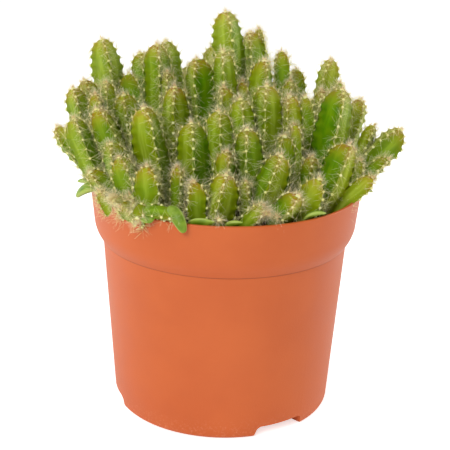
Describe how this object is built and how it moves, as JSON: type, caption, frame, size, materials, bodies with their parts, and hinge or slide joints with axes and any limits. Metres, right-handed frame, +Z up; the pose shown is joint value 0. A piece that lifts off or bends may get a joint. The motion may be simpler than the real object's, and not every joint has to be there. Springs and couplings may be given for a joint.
{
  "type": "potted cactus",
  "caption": "Round tapering plastic grow pot with a rim band, filled with soil and planted with a dense clump of short ribbed cactus seedlings.",
  "frame": {"origin": "on the pot's axis, in the plane that the pot's feet stand on", "axes": "+Z up along the pot's axis and the stems, -Y is the front of the plant, +X is its right-hand side seen from the front"},
  "size_m": [0.1517, 0.1217, 0.175],
  "materials": {
    "pot_plastic": "satin",
    "potting_soil": "matte",
    "cactus_skin": "satin",
    "seed_leaf": "satin",
    "areole_felt": "matte",
    "bristle": "matte"
  },
  "bodies": {
    "root": {"pot": "pot_plastic", "potting_soil": "potting_soil", "stem_01": "cactus_skin", "stem_02": "cactus_skin", "stem_03": "cactus_skin", "stem_04": "cactus_skin", "stem_05": "cactus_skin", "stem_06": "cactus_skin", "stem_07": "cactus_skin", "stem_08": "cactus_skin", "stem_09": "cactus_skin", "stem_10": "cactus_skin", "stem_11": "cactus_skin", "stem_12": "cactus_skin", "stem_13": "cactus_skin", "stem_14": "cactus_skin", "stem_15": "cactus_skin", "stem_16": "cactus_skin", "stem_17": "cactus_skin", "stem_18": "cactus_skin", "stem_19": "cactus_skin", "stem_20": "cactus_skin", "stem_21": "cactus_skin", "stem_22": "cactus_skin", "stem_23": "cactus_skin", "stem_24": "cactus_skin", "stem_25": "cactus_skin", "stem_26": "cactus_skin", "stem_27": "cactus_skin", "stem_28": "cactus_skin", "stem_29": "cactus_skin", "stem_30": "cactus_skin", "stem_31": "cactus_skin", "stem_32": "cactus_skin", "stem_33": "cactus_skin", "stem_34": "cactus_skin", "stem_35": "cactus_skin", "stem_36": "cactus_skin", "stem_37": "cactus_skin", "stem_38": "cactus_skin", "stem_39": "cactus_skin", "stem_40": "cactus_skin", "stem_41": "cactus_skin", "stem_42": "cactus_skin", "stem_43": "cactus_skin", "stem_44": "cactus_skin", "stem_45": "cactus_skin", "stem_46": "cactus_skin", "stem_47": "cactus_skin", "stem_48": "cactus_skin", "stem_49": "cactus_skin", "stem_50": "cactus_skin", "seed_leaf_1": "seed_leaf", "seed_leaf_2": "seed_leaf", "seed_leaf_3": "seed_leaf", "seed_leaf_4": "seed_leaf", "seed_leaf_5": "seed_leaf", "seed_leaf_6": "seed_leaf", "seed_leaf_7": "seed_leaf", "seed_leaf_8": "seed_leaf"}
  },
  "joints": []
}
